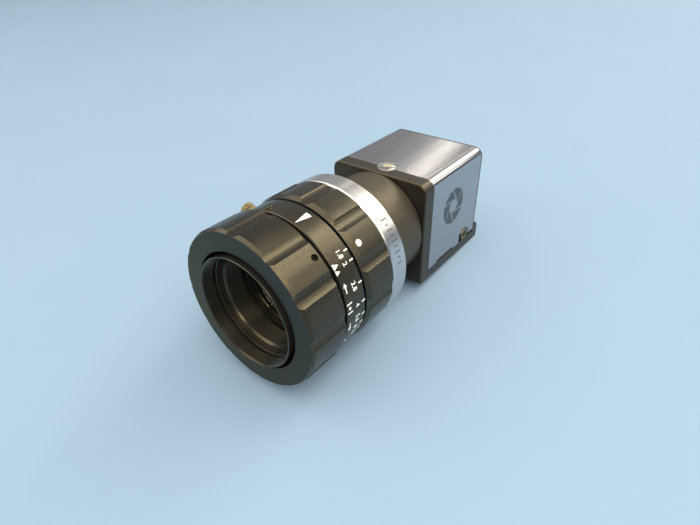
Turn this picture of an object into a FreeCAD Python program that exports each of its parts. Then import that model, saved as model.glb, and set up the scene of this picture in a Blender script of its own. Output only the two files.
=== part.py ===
"""Cube machine-vision camera with a 25 mm manual-focus, manual-iris C-mount lens.

Frame: +Z up, the lens looks along -Y, and +X is to the right of someone who faces the lens.
The origin is the mouth of the tripod thread in the middle of the camera's base. Millimetres.

Places along the optical axis are stations: the distance ahead of the C-mount flange, which is the
front face of the camera. A negative station lies inside the camera. Angles round the axis run from
+X towards +Z.
"""

import FreeCAD, Part

import math
import os
from FreeCAD import Vector

os.makedirs("parts", exist_ok=True)

# ---------------------------------------------------------------- camera body
BODY_WIDTH = 34.0
BODY_HEIGHT = 33.9
BODY_DEPTH = 34.5
AXIS_HEIGHT = 17.1          # optical axis above the base
THREAD_SETBACK = 17.3       # tripod thread behind the camera's front face
PLATE_THICKNESS = 4.5
CORNER_RADIUS = 3.0
EDGE_CHAMFER = 0.3
BASE_THICKNESS = 3.2
LIP_DEPTH = 2.9             # rear lip behind the body
LIP_HEIGHT = 6.2
LIP_ROUND = 2.4
SHEET = 0.9                 # cover sheet thickness
REAR_FLANGE = 0.6
REAR_STEP = 1.4
SHEET_GAP = 0.05

# ---------------------------------------------------------------- standard interfaces
FLANGE_DISTANCE = 17.526    # C-mount flange to image, in air
GLASS_SHIFT = 0.5           # image moves back by a third of the glass in its path
C_THREAD_RADIUS = 12.7      # 1 inch, 32 threads per inch
C_THREAD_LENGTH = 4.0
C_THREAD_PITCH = 25.4 / 32
TRIPOD_TAP_RADIUS = 2.55    # 1/4-20, tapping size
TRIPOD_TAP_DEPTH = 5.0
FILTER_CREST_RADIUS = 14.98  # M30.5 x 0.5, crest of the inner thread
FILTER_ROOT_RADIUS = 15.25
FILTER_PITCH = 0.5
FILTER_TURNS = 6

# ---------------------------------------------------------------- lens rings
NECK_RADIUS = 16.6
SLEEVE_RADIUS = 18.6        # fixed sleeve that the rings ride on
BORE_RADIUS = 16.9          # inside of the fixed sleeve
SKIRT_RADIUS = 19.87        # inner sleeve that turns with the focus ring
NAME_RADIUS = 21.7
IRIS_RADIUS = 21.9
SCALE_RADIUS = 21.3
FOCUS_RADIUS = 22.2
ANNULUS_RADIUS = 16.5       # hole in the flat front of the focus ring
RUN = 0.06                  # radial running clearance of the hand rings
SNUG = 0.03                 # radial gap of pieces that are screwed or bonded together
BEVEL = 0.25                # turned bevel of the ring edges

NECK_FRONT = 16.3
NAME_FRONT = 22.45
IRIS_REAR = 22.55
IRIS_FRONT = 33.65
SCALE_REAR = 34.3
SCALE_FRONT = 41.3
FOCUS_REAR = 42.85
FOCUS_FRONT = 54.9
BARREL_FRONT = 55.85
SLEEVE_FRONT = 47.5
SKIRT_REAR = 37.4
SKIRT_FRONT = 47.75
NUT_FRONT = 51.55           # front of the helicoid nut

NAME_BEVEL = (0.28, 0.5)    # front bevels, as (radial drop, length)
IRIS_BEVEL = (0.6, 1.45)
FOCUS_BEVEL = (0.5, 0.95)

FLUTE_COUNT = 12
FLUTE_CUTTER = 3.6
FLUTE_HALF_WIDTH = 1.95
FOCUS_FLUTE_ANGLE = 2.0
IRIS_FLUTE_ANGLE = 26.0

# ---------------------------------------------------------------- iris
BLADE_COUNT = 6
BLADE_INNER = 7.4
BLADE_OUTER = 10.4
BLADE_SPAN = 122.0          # degrees of arc
BLADE_THICKNESS = 0.08
BLADE_SPACING = 0.17
BLADE_FIRST = 25.48         # station of the rearmost blade
PIVOT_CIRCLE = 11.4
PIVOT_RADIUS = 0.4
DRIVE_RADIUS = 0.25
DRIVE_IN = -0.2             # drive pin from the pivot, towards the axis when negative
DRIVE_ROUND = 2.0           # drive pin from the pivot, round the axis
EAR_TIP = 0.6               # half width of the blade's ear at the drive pin
IRIS_TRAVEL = 66.0          # degrees of the iris ring, wide open to closed
BLADE_RATIO = 0.5           # blade turn for each degree of the iris ring
LINK_ANGLE = 210.0
LINK_STATION = 30.4
LINK_RADIUS = 0.8
LINK_HEAD_RADIUS = 1.27
LINK_TIP = 12.95            # ends of the link screw from the optical axis
LINK_SEAT = 19.5
LINK_TOP = 20.9
GUIDE_ANGLE = 250.0
GUIDE_STATION = 20.5
GUIDE_RADIUS = 1.0

# ---------------------------------------------------------------- moving barrel
BARREL_REAR = 17.1
GUIDE_BAND = BORE_RADIUS - 0.04     # where the barrel runs in the fixed sleeve
CHAMBER_RADIUS = 14.1               # room for the iris and the rear cell
FRONT_BORE = 14.0                   # room for the front element and its clamp
DOUBLET_BORE = 10.55
BARREL_BORE = (                     # radius of each step and the station of its rear end
    (15.0, 50.15),                  # wall ahead of the clamp tube
    (FRONT_BORE, 42.55),
    (12.55, 39.1),
    (DOUBLET_BORE, 33.9),
    (8.8, 33.1),                    # fixed stop
    (CHAMBER_RADIUS, BARREL_REAR),
)
BARREL_OUTSIDE = (                  # radius of each step and the station of its front end
    (GUIDE_BAND, 26.5),
    (16.5, 33.0),
    (GUIDE_BAND, 37.0),
    (16.5, 40.0),
    (16.75, 49.4),                  # helicoid thread
    (15.65, BARREL_FRONT - 0.1),    # nose round the filter thread
)

# ---------------------------------------------------------------- screws on the lens
LOCK_SCREW_RADIUS = 1.0
THUMB_ANGLE = 157.0
THUMB_STATION = 30.6
THUMB_HEAD_RADIUS = 2.15
THUMB_HEAD_HEIGHT = 3.6
THUMB_TOP = 26.9            # top of the head from the optical axis
THUMB_TEETH = 30
SLOT_SCREW_ANGLE = 100.0
SLOT_SCREW_STATION = 39.6
SET_SCREW_ANGLES = (48.0, 168.0, 288.0)
SET_SCREW_STATION = 44.5
SET_SCREW_RADIUS = 0.9
SET_SCREW_TOP = 21.1

# ---------------------------------------------------------------- inside the camera
BOSS_RADIUS = 12.4
BOSS_DEPTH = 12.0
FILTER_SEAT = 7.5
FILTER_THICKNESS = 1.0
FILTER_GLASS_RADIUS = 10.5
BOARD_WIDTH = 28.0
BOARD_LOW = 6.4
BOARD_HIGH = 30.8
BOARD_THICKNESS = 1.6
SENSOR_BOARD = 20.0         # front face behind the flange
MAIN_BOARD = 27.0
POST_X = 12.0
POST_HEIGHTS = (8.7, 28.3)
POST_RADIUS = 1.9
PACKAGE_HALF = 7.1
USB_HEIGHT = 25.0
USB_NUT_X = 7.0
IO_HEIGHT = 13.4
IO_NUT_X = 7.2
LIGHT_X = 11.5
LIGHT_Z = 28.4
LIGHT_RADIUS = 1.0
BOARD_BACK = MAIN_BOARD + BOARD_THICKNESS

FRONT_Y = -THREAD_SETBACK
HALF = BODY_WIDTH / 2
ALONG = Vector(0, 1, 0)
AHEAD = Vector(0, -1, 0)
UP = Vector(0, 0, 1)
CENTRE = Vector(0, 0, AXIS_HEIGHT)


# ================================================================ helpers

def at(radius, angle, station):
    """Point at a radius and angle round the optical axis, at a station."""
    turn = math.radians(angle)
    return Vector(radius * math.cos(turn), FRONT_Y - station, AXIS_HEIGHT + radius * math.sin(turn))


def outward(angle):
    """Unit vector away from the optical axis."""
    turn = math.radians(angle)
    return Vector(math.cos(turn), 0, math.sin(turn))


def turned(profile, start=0.0, sweep=360.0):
    """Solid of revolution round the optical axis from (radius, station) corners."""
    corners = [at(radius, 0, station) for radius, station in profile]
    face = Part.Face(Part.makePolygon(corners + corners[:1]))
    face.rotate(CENTRE, AHEAD, start)
    return face.revolve(CENTRE, AHEAD, sweep)


def ring(inner, outer, rear, front):
    return turned([(inner, rear), (outer, rear), (outer, front), (inner, front)])


def rod(radius, angle, station, low, high):
    """Round rod that points away from the optical axis."""
    return Part.makeCylinder(radius, high - low, at(low, angle, station), outward(angle))


def pin(radius, place, rear, front):
    """Round pin parallel to the optical axis; place is (radius, angle)."""
    return Part.makeCylinder(radius, front - rear, at(place[0], place[1], rear), AHEAD)


def block(x_low, x_high, y_low, y_high, z_low, z_high):
    """Box; y is measured behind the camera's front face."""
    corner = Vector(x_low, FRONT_Y + y_low, z_low)
    return Part.makeBox(x_high - x_low, y_high - y_low, z_high - z_low, corner)


def behind(x, z, radius, y_low, y_high):
    """Round rod along the depth of the camera."""
    return Part.makeCylinder(radius, y_high - y_low, Vector(x, FRONT_Y + y_low, z), ALONG)


def across(y, z, radius, x_low, x_high):
    """Round rod along X; y is measured behind the camera's front face."""
    return Part.makeCylinder(radius, x_high - x_low, Vector(x_low, FRONT_Y + y, z), Vector(1, 0, 0))


def hexagon(x, z, across_flats, y_low, y_high):
    """Hexagonal bar along the depth of the camera."""
    reach = across_flats / math.sqrt(3)
    corners = []
    for side in range(6):
        turn = math.radians(60 * side)
        corners.append(Vector(x + reach * math.cos(turn), FRONT_Y + y_low, z + reach * math.sin(turn)))
    face = Part.Face(Part.makePolygon(corners + corners[:1]))
    return face.extrude(Vector(0, y_high - y_low, 0))


def arch(half, low, high, corner, y_low, y_high):
    """Slab across the camera with its two upper corners rounded."""
    y = FRONT_Y + y_low
    middle = corner * (1 - math.sqrt(0.5))
    edges = [
        Part.LineSegment(Vector(-half, y, low), Vector(half, y, low)),
        Part.LineSegment(Vector(half, y, low), Vector(half, y, high - corner)),
        Part.Arc(Vector(half, y, high - corner), Vector(half - middle, y, high - middle),
                 Vector(half - corner, y, high)),
        Part.LineSegment(Vector(half - corner, y, high), Vector(corner - half, y, high)),
        Part.Arc(Vector(corner - half, y, high), Vector(middle - half, y, high - middle),
                 Vector(-half, y, high - corner)),
        Part.LineSegment(Vector(-half, y, high - corner), Vector(-half, y, low)),
    ]
    wire = Part.Wire([edge.toShape() for edge in edges])
    return Part.Face(wire).extrude(Vector(0, y_high - y_low, 0))


def chamfered(solid, size, is_wanted):
    """Solid with a chamfer on the edges that the test picks."""
    return solid.makeChamfer(size, [edge for edge in solid.Edges if is_wanted(edge)])


def mirrored(solid):
    return solid.mirror(Vector(0, 0, 0), Vector(1, 0, 0))


def save(name, *solids):
    """Write one node, as one solid or as a group of separate ones."""
    shape = solids[0] if len(solids) == 1 else Part.Compound(list(solids))
    if shape.ShapeType != "Compound" and len(shape.Solids) == 1:
        shape = shape.Solids[0]
    assert shape.isValid() and shape.Solids, name
    shape.exportStep("parts/%s.step" % name)
    print("%-24s solids %2d  volume %9.2f" % (name, len(shape.Solids), shape.Volume))


# ================================================================ camera: chassis and cover

SIDE_SCREW_Y = 27.2
SIDE_SCREW_Z = 5.5
SIDE_SCREW_HEAD = 2.15
SIDE_SCREW_RISE = 0.75      # head above the bottom of its pocket
TOP_SCREW_Y = 4.9
TOP_SCREW_RADIUS = 1.5
TOP_SCREW_HEAD = 2.9
TOP_SCREW_SEAT = BODY_HEIGHT - 0.5
TOP_SCREW_LENGTH = 3.0
TOP_SCREW_DOME = 8.0
TOP_BLOCK = (4.5, 9.0, 28.4)    # half width, rear end and underside of the block under the screw
RAIL_OUT = 16.05
RAIL_IN = 14.7
RAIL_TOP = 7.6
POCKET_DEPTH = 0.5
TRIPOD_BOSS_RADIUS = 5.0
LIGHT_PATH_RADIUS = 9.5
M2_RADIUS = 1.0
M2_HOLE = 1.03
M2_CLEAR = 1.15
TOP_LAYER = BODY_HEIGHT - SHEET - SHEET_GAP


def top_screw_pocket():
    """Space for the head of the cover's top screw."""
    place = Vector(0, FRONT_Y + TOP_SCREW_Y, TOP_SCREW_SEAT)
    return Part.makeCylinder(TOP_SCREW_HEAD + 0.1, 2.0, place, UP)


def top_screw_hole():
    place = Vector(0, FRONT_Y + TOP_SCREW_Y, TOP_SCREW_SEAT - TOP_SCREW_LENGTH - 0.2)
    return Part.makeCylinder(TOP_SCREW_RADIUS + SNUG, TOP_SCREW_LENGTH + 2.0, place, UP)


def front_plate():
    plate = arch(HALF, 0, BODY_HEIGHT, CORNER_RADIUS, 0, PLATE_THICKNESS)
    plate = chamfered(plate, EDGE_CHAMFER, lambda edge: all(
        abs(vertex.Y - FRONT_Y) < 0.01 for vertex in edge.Vertexes))
    return plate


def rear_lip():
    """Raised lip across the back of the base, rounded on top."""
    front = FRONT_Y + BODY_DEPTH
    back = front + LIP_DEPTH
    middle = LIP_ROUND * (1 - math.sqrt(0.5))
    edges = [
        Part.LineSegment(Vector(-HALF, front, 0), Vector(-HALF, back, 0)),
        Part.LineSegment(Vector(-HALF, back, 0), Vector(-HALF, back, LIP_HEIGHT - LIP_ROUND)),
        Part.Arc(Vector(-HALF, back, LIP_HEIGHT - LIP_ROUND),
                 Vector(-HALF, back - middle, LIP_HEIGHT - middle),
                 Vector(-HALF, back - LIP_ROUND, LIP_HEIGHT)),
        Part.LineSegment(Vector(-HALF, back - LIP_ROUND, LIP_HEIGHT), Vector(-HALF, front, LIP_HEIGHT)),
        Part.LineSegment(Vector(-HALF, front, LIP_HEIGHT), Vector(-HALF, front, 0)),
    ]
    wire = Part.Wire([edge.toShape() for edge in edges])
    return Part.Face(wire).extrude(Vector(BODY_WIDTH, 0, 0))


def chassis():
    """Front plate, base, rear lip, side rails and inner bosses, milled from one piece."""
    body = front_plate().fuse(block(-HALF, HALF, EDGE_CHAMFER, BODY_DEPTH, 0, BASE_THICKNESS))
    body = body.fuse(rear_lip())
    rail_end = BODY_DEPTH - REAR_FLANGE - REAR_STEP - 0.1
    for side in (-1, 1):
        low, high = sorted((side * RAIL_IN, side * RAIL_OUT))
        body = body.fuse(block(low, high, PLATE_THICKNESS, rail_end, BASE_THICKNESS, RAIL_TOP))
    body = body.fuse(behind(0, AXIS_HEIGHT, BOSS_RADIUS, PLATE_THICKNESS, BOSS_DEPTH))
    body = body.fuse(Part.makeCylinder(TRIPOD_BOSS_RADIUS, TRIPOD_TAP_DEPTH + 0.6))
    half, rear, low = TOP_BLOCK
    body = body.fuse(block(-half, half, PLATE_THICKNESS, rear, low, TOP_LAYER))
    holes = [
        behind(0, AXIS_HEIGHT, C_THREAD_RADIUS + 0.05, 0, C_THREAD_LENGTH + 0.2),
        behind(0, AXIS_HEIGHT, FILTER_GLASS_RADIUS + 0.5, C_THREAD_LENGTH, FILTER_SEAT),
        behind(0, AXIS_HEIGHT, LIGHT_PATH_RADIUS, FILTER_SEAT, BOSS_DEPTH),
        Part.makeCylinder(TRIPOD_TAP_RADIUS, TRIPOD_TAP_DEPTH),
        top_screw_pocket(),
        top_screw_hole(),
        across(SIDE_SCREW_Y, SIDE_SCREW_Z, M2_HOLE, -HALF, HALF),
    ]
    for x in (-POST_X, POST_X):
        for z in POST_HEIGHTS:
            holes.append(behind(x, z, M2_HOLE, 2.0, PLATE_THICKNESS))
    return body.cut(holes).removeSplitter()


def cover():
    """Folded metal sheet over the top and both sides."""
    rear = BODY_DEPTH - REAR_FLANGE
    low = BASE_THICKNESS + SHEET_GAP
    outer = arch(HALF, low, BODY_HEIGHT, CORNER_RADIUS, PLATE_THICKNESS, rear)
    inner = arch(HALF - SHEET, 0, BODY_HEIGHT - SHEET, CORNER_RADIUS - SHEET, 0, BODY_DEPTH)
    sheet = outer.cut(inner)
    notch_front = SIDE_SCREW_Y - 3.2
    notch_rear = SIDE_SCREW_Y + 3.2
    sheet = sheet.cut(block(-HALF, HALF, 9.5, 20.0, 0, low + 0.7))
    sheet = sheet.cut(block(-HALF, HALF, notch_rear, BODY_DEPTH, 0, low + 1.0))
    notch = block(HALF - POCKET_DEPTH, HALF, notch_front, notch_rear, 0, SIDE_SCREW_Z + 1.1)
    notch = notch.fuse(across(SIDE_SCREW_Y, SIDE_SCREW_Z, SIDE_SCREW_HEAD + 0.3, HALF - POCKET_DEPTH, HALF))
    slot = block(RAIL_OUT, HALF, SIDE_SCREW_Y - M2_CLEAR, SIDE_SCREW_Y + M2_CLEAR, 0, SIDE_SCREW_Z)
    slot = slot.fuse(across(SIDE_SCREW_Y, SIDE_SCREW_Z, M2_CLEAR, RAIL_OUT, HALF))
    for cutter in (notch, slot):
        sheet = sheet.cut(cutter).cut(mirrored(cutter))
    sheet = sheet.cut(top_screw_pocket()).cut(top_screw_hole())
    return sheet.removeSplitter()


def cross_recess(place, direction, size, depth):
    """Cross-shaped driver recess, as two crossed bars."""
    bars = []
    for length, width in ((size, size / 4), (size / 4, size)):
        bar = Part.makeBox(length, width, depth, Vector(-length / 2, -width / 2, -depth))
        bars.append(bar)
    cutter = bars[0].fuse(bars[1])
    cutter.Placement = FreeCAD.Placement(place, FreeCAD.Rotation(UP, direction))
    return cutter


def cover_top_screw():
    """M3 raised-head screw, half in the front plate and half in the cover."""
    seat = TOP_SCREW_SEAT + 0.01
    rise = TOP_SCREW_DOME - math.sqrt(TOP_SCREW_DOME ** 2 - TOP_SCREW_HEAD ** 2)
    top = seat + 0.45 + rise
    y = FRONT_Y + TOP_SCREW_Y
    head = Part.makeCylinder(TOP_SCREW_HEAD, top - seat, Vector(0, y, seat), UP)
    head = head.common(Part.makeSphere(TOP_SCREW_DOME, Vector(0, y, top - TOP_SCREW_DOME)))
    shank = Part.makeCylinder(TOP_SCREW_RADIUS, TOP_SCREW_LENGTH, Vector(0, y, seat - TOP_SCREW_LENGTH), UP)
    screw = head.fuse(shank)
    return screw.cut(cross_recess(Vector(0, y, top), UP, 2.6, 0.8)).removeSplitter()


def cover_side_screw():
    """M2 flat-head brass screw that clamps the cover in its notch."""
    seat = HALF - POCKET_DEPTH + 0.02
    top = seat + SIDE_SCREW_RISE
    head = across(SIDE_SCREW_Y, SIDE_SCREW_Z, SIDE_SCREW_HEAD, seat, top)
    head = chamfered(head, 0.2, lambda edge: abs(edge.BoundBox.XMin - top) < 0.01
                     and edge.BoundBox.XLength < 0.01)
    shank = across(SIDE_SCREW_Y, SIDE_SCREW_Z, M2_RADIUS, RAIL_IN - 0.5, seat)
    tip = Vector(top, FRONT_Y + SIDE_SCREW_Y, SIDE_SCREW_Z)
    return head.fuse(shank).cut(cross_recess(tip, Vector(1, 0, 0), 2.2, 0.5)).removeSplitter()


# ================================================================ camera: optics and electronics

DIE = FLANGE_DISTANCE + GLASS_SHIFT     # front of the sensor's die behind the flange
DIE_HALF = (4.2, 3.6)
WINDOW_HALF = (4.9, 4.4)
COVER_GLASS_HALF = (5.8, 5.3)


def filter_retainer():
    """Threaded ring with two spanner slots, ahead of the filter glass."""
    rear = FILTER_SEAT - FILTER_THICKNESS
    height = 1.1
    slot_width = 1.2
    body = ring(LIGHT_PATH_RADIUS, FILTER_GLASS_RADIUS + 0.45, -rear, -rear + height)
    slot = Part.makeBox(24.0, 0.8, slot_width,
                        Vector(-12.0, FRONT_Y + rear - height, AXIS_HEIGHT - slot_width / 2))
    return body.cut(slot)


def on_axis(half_sizes, front, rear):
    """Flat block centred on the optical axis; front and rear are measured behind the flange."""
    half_width, half_height = half_sizes
    return block(-half_width, half_width, front, rear, AXIS_HEIGHT - half_height, AXIS_HEIGHT + half_height)


def sensor_package():
    """Ceramic carrier with a window recess."""
    front = DIE - 0.9
    carrier = on_axis((PACKAGE_HALF, PACKAGE_HALF), front, SENSOR_BOARD)
    return carrier.cut(on_axis(WINDOW_HALF, front, DIE + 0.5))


def sensor_die():
    return on_axis(DIE_HALF, DIE, DIE + 0.45)


def sensor_cover_glass():
    front = DIE - 1.45
    return on_axis(COVER_GLASS_HALF, front, front + 0.5)


def board(front):
    """Circuit board with a fixing hole at each corner."""
    half = BOARD_WIDTH / 2
    sheet = block(-half, half, front, front + BOARD_THICKNESS, BOARD_LOW, BOARD_HIGH)
    holes = [behind(x, z, M2_CLEAR, front, front + BOARD_THICKNESS)
             for x in (-POST_X, POST_X) for z in POST_HEIGHTS]
    return sheet.cut(holes)


def on_posts(make):
    """One copy of a fixing at each corner of the boards."""
    return [make(x, z) for x in (-POST_X, POST_X) for z in POST_HEIGHTS]


def standoff(x, z):
    """Threaded post between the front plate and the sensor board."""
    tube = behind(x, z, POST_RADIUS, PLATE_THICKNESS, SENSOR_BOARD)
    stud = behind(x, z, M2_RADIUS, 2.2, PLATE_THICKNESS)
    return tube.fuse(stud).cut(behind(x, z, M2_HOLE, 12.0, SENSOR_BOARD))


def spacer(x, z):
    """Plain tube between the two boards."""
    rear = SENSOR_BOARD + BOARD_THICKNESS
    return behind(x, z, POST_RADIUS, rear, MAIN_BOARD).cut(behind(x, z, M2_CLEAR, rear, MAIN_BOARD))


def board_screw(x, z):
    """Slotted screw through both boards into its post."""
    top = BOARD_BACK + 1.2
    head = behind(x, z, 1.8, BOARD_BACK, top)
    shank = behind(x, z, M2_RADIUS, 13.0, BOARD_BACK)
    slot = block(x - 1.8, x + 1.8, top - 0.5, top, z - 0.25, z + 0.25)
    return head.fuse(shank).cut(slot)


def board_connector():
    """Stacking connector between the two boards."""
    rear = SENSOR_BOARD + BOARD_THICKNESS
    plug = block(-8.0, 8.0, rear, MAIN_BOARD, 8.0, 11.6)
    key = block(-6.8, 6.8, rear + 2.2, MAIN_BOARD - 2.2, 7.0, 8.4)
    return plug.cut(key)


def usb_controller():
    """Flat chip on the main board, with a chamfered pin-one corner."""
    chip = block(-5.0, 5.0, MAIN_BOARD - 1.0, MAIN_BOARD, 14.0, 24.0)
    return chamfered(chip, 0.8, lambda edge: edge.BoundBox.YLength > 0.9
                     and edge.BoundBox.XMax < -4.9 and edge.BoundBox.ZMin > 23.9)


def usb_profile(grow, y_low, y_high):
    """Mini-B outline: wide above, stepped in below."""
    upper = block(-3.4 - grow, 3.4 + grow, y_low, y_high, USB_HEIGHT - 0.4 - grow, USB_HEIGHT + 1.5 + grow)
    lower = block(-2.6 - grow, 2.6 + grow, y_low, y_high, USB_HEIGHT - 1.5 - grow, USB_HEIGHT + grow)
    return upper.fuse(lower).removeSplitter()


def usb_socket():
    """Folded metal shell of the socket."""
    shell = usb_profile(0.4, BOARD_BACK, BODY_DEPTH + 0.5)
    return shell.cut(usb_profile(0, BOARD_BACK + 0.6, BODY_DEPTH + 1.0))


def usb_tongue():
    """Plastic tongue that carries the socket's contacts."""
    back = BOARD_BACK + 0.65
    underside = USB_HEIGHT - 0.2
    root = usb_profile(-0.05, back, back + 1.5)
    blade = block(-2.3, 2.3, back + 1.5, BODY_DEPTH - 0.3, underside, USB_HEIGHT + 0.5)
    contacts = [block(x - 0.2, x + 0.2, back + 2.0, BODY_DEPTH - 0.6, underside - 0.15, underside)
                for x in (-1.6, -0.8, 0.0, 0.8, 1.6)]
    return root.fuse([blade] + contacts).removeSplitter()


def lock_nut(x, z, width, out):
    """Hexagonal nut on the outside of the rear plate, with its threaded stem."""
    body = hexagon(x, z, width, BODY_DEPTH, BODY_DEPTH + out)
    stem = behind(x, z, 1.2, BOARD_BACK, BODY_DEPTH)
    return body.fuse(stem).cut(behind(x, z, 0.9, BODY_DEPTH - 2.5, BODY_DEPTH + out))


def io_outline(half_width, half_height, y_low, y_high):
    """Shallow D outline, narrower below."""
    corners = []
    for x, z in ((-half_width, half_height), (half_width, half_height),
                 (half_width - 0.8, -half_height), (0.8 - half_width, -half_height)):
        corners.append(Vector(x, FRONT_Y + y_low, IO_HEIGHT + z))
    face = Part.Face(Part.makePolygon(corners + corners[:1]))
    return face.extrude(Vector(0, y_high - y_low, 0))


IO_SHELL = (5.0, 2.4)       # half width and half height outside
IO_WALL = 0.5


def io_shape(gap, y_low, y_high):
    """The shell's outline, drawn in by gap."""
    half_width, half_height = IO_SHELL
    return io_outline(half_width - gap, half_height - gap, y_low, y_high)


def io_connector():
    """Nine-way miniature D shell with its flange behind the rear plate."""
    inside = BODY_DEPTH - REAR_FLANGE - REAR_STEP
    flange = block(-10.0, 10.0, inside - 1.0, inside - 0.05, IO_HEIGHT - 3.6, IO_HEIGHT + 3.6)
    shell = io_shape(0, BOARD_BACK, BODY_DEPTH + 1.6)
    body = flange.fuse(shell).cut(io_shape(IO_WALL, BOARD_BACK + 1.0, BODY_DEPTH + 2.0))
    for x in (-IO_NUT_X, IO_NUT_X):
        body = body.cut(behind(x, IO_HEIGHT, 1.3, BOARD_BACK, BODY_DEPTH))
    return body.removeSplitter()


def io_insert():
    """Moulded insert with nine contact holes in two rows."""
    pitch = 1.27
    insert = io_shape(IO_WALL + 0.05, BOARD_BACK + 1.05, BODY_DEPTH + 0.9)
    holes = []
    for row, count in ((0.7, 5), (-0.7, 4)):
        for index in range(count):
            x = (index - (count - 1) / 2) * pitch
            holes.append(behind(x, IO_HEIGHT + row, 0.3, BODY_DEPTH - 2.0, BODY_DEPTH + 1.0))
    return insert.cut(holes)


def rear_plate():
    """Rear panel: a flange as wide as the body and a step that fits inside the cover."""
    front = BODY_DEPTH - REAR_FLANGE
    low = BASE_THICKNESS + SHEET_GAP
    panel = arch(HALF, low, BODY_HEIGHT, CORNER_RADIUS, front + 0.02, BODY_DEPTH)
    inset = SHEET + SHEET_GAP
    panel = panel.fuse(arch(HALF - inset, low, BODY_HEIGHT - inset, CORNER_RADIUS - inset,
                            front - REAR_STEP, front + 0.02))
    back = BODY_DEPTH + 1.0
    holes = [
        usb_profile(0.6, 0, back),
        io_shape(-0.2, 0, back),
        behind(LIGHT_X, LIGHT_Z, LIGHT_RADIUS + 0.05, 0, back),
    ]
    holes += [behind(x, USB_HEIGHT, 1.25, 0, back) for x in (-USB_NUT_X, USB_NUT_X)]
    holes += [behind(x, IO_HEIGHT, 1.25, 0, back) for x in (-IO_NUT_X, IO_NUT_X)]
    return panel.cut(holes).removeSplitter()


def status_light():
    """Clear light pipe with a domed end."""
    end = BODY_DEPTH + 0.1
    pipe = behind(LIGHT_X, LIGHT_Z, LIGHT_RADIUS, BOARD_BACK, end)
    dome = Part.makeSphere(LIGHT_RADIUS, Vector(LIGHT_X, FRONT_Y + end, LIGHT_Z))
    screw_room = behind(POST_X, POST_HEIGHTS[1], POST_RADIUS + 0.05, 0, BOARD_BACK + 1.3)
    return pipe.fuse(dome).cut(screw_room).removeSplitter()


# ================================================================ lens: fixed parts

def grooved(radius, depth, pitch, count, first):
    """V grooves along a turned wall, as (radius, station) corners from front to rear."""
    corners = []
    for turn in range(count):
        front = first - turn * pitch
        corners.append((radius, front))
        corners.append((radius + depth, front - pitch * 0.35))
        corners.append((radius, front - pitch * 0.7))
    return corners


def sector_cut(inner, outer, rear, front, start, end):
    """Window through a turned wall, from one angle to another."""
    profile = [(inner, rear), (outer, rear), (outer, front), (inner, front)]
    return turned(profile, start, end - start)


def lens_body():
    """Fixed barrel: C-mount thread, neck and the sleeve that the rings ride on."""
    thread = grooved(C_THREAD_RADIUS, -0.45, C_THREAD_PITCH, 4, -0.75)
    outer = [(12.1, 0.0), (12.1, -0.7)] + thread + [(C_THREAD_RADIUS - 0.2, -C_THREAD_LENGTH)]
    profile = [
        (9.6, -C_THREAD_LENGTH), (9.6, 2.0), (13.6, 2.0), (13.6, 16.6), (BORE_RADIUS, 16.6),
        (BORE_RADIUS, SLEEVE_FRONT), (SLEEVE_RADIUS, SLEEVE_FRONT), (SLEEVE_RADIUS, NECK_FRONT),
        (NECK_RADIUS, NECK_FRONT), (NECK_RADIUS, 0.5), (NECK_RADIUS - 0.35, 0.0),
    ] + outer
    body = turned(profile)
    slack = 4.0
    body = body.cut(sector_cut(BORE_RADIUS - 1, SLEEVE_RADIUS + 1, LINK_STATION - 0.95, LINK_STATION + 0.95,
                               LINK_ANGLE - IRIS_TRAVEL - slack, LINK_ANGLE + slack))
    body = body.cut(rod(GUIDE_RADIUS + SNUG, GUIDE_ANGLE, GUIDE_STATION, 15.0, 20.0))
    return body


def name_ring():
    """Plain bright ring at the back of the lens."""
    inner = SLEEVE_RADIUS + SNUG
    drop, length = NAME_BEVEL
    return turned([(inner, NECK_FRONT), (NAME_RADIUS - BEVEL, NECK_FRONT), (NAME_RADIUS, NECK_FRONT + BEVEL),
                   (NAME_RADIUS, NAME_FRONT - length), (NAME_RADIUS - drop, NAME_FRONT), (inner, NAME_FRONT)])


def guide_screw():
    """Headless screw whose tip runs in the barrel's axial slot and stops it turning."""
    top = SLEEVE_RADIUS - 0.1
    screw = rod(GUIDE_RADIUS, GUIDE_ANGLE, GUIDE_STATION, 14.6, top)
    return screw.cut(driver_slot(top, GUIDE_ANGLE, GUIDE_STATION, 0.4))


def scale_ring():
    """Fixed ring that carries the iris scale, the focus legend and the spare lock screw."""
    inner = SLEEVE_RADIUS + SNUG
    skirt_room = SKIRT_RADIUS + RUN
    step = SKIRT_REAR - 0.2
    body = turned([(inner, SCALE_REAR), (SCALE_RADIUS - BEVEL, SCALE_REAR),
                   (SCALE_RADIUS, SCALE_REAR + BEVEL), (SCALE_RADIUS, SCALE_FRONT - BEVEL),
                   (SCALE_RADIUS - BEVEL, SCALE_FRONT), (skirt_room, SCALE_FRONT), (skirt_room, step),
                   (inner, step)])
    return body.cut(rod(LOCK_SCREW_RADIUS + SNUG, SLOT_SCREW_ANGLE, SLOT_SCREW_STATION, SLEEVE_RADIUS, 23.0))


def driver_slot(top, angle, station, width=0.45, depth=0.6):
    """Straight slot across the top of a screw that points away from the axis."""
    length = 3.0
    slot = Part.makeBox(width, length, depth, Vector(-width / 2, -length / 2, -depth))
    slot.Placement = FreeCAD.Placement(at(top, angle, station), FreeCAD.Rotation(UP, outward(angle)))
    return slot


def scale_ring_screw():
    """Slotted brass screw that can lock the focus."""
    top = SCALE_RADIUS + 0.25
    screw = rod(LOCK_SCREW_RADIUS, SLOT_SCREW_ANGLE, SLOT_SCREW_STATION, SKIRT_RADIUS + 0.12, top)
    return screw.cut(driver_slot(top, SLOT_SCREW_ANGLE, SLOT_SCREW_STATION))


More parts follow.
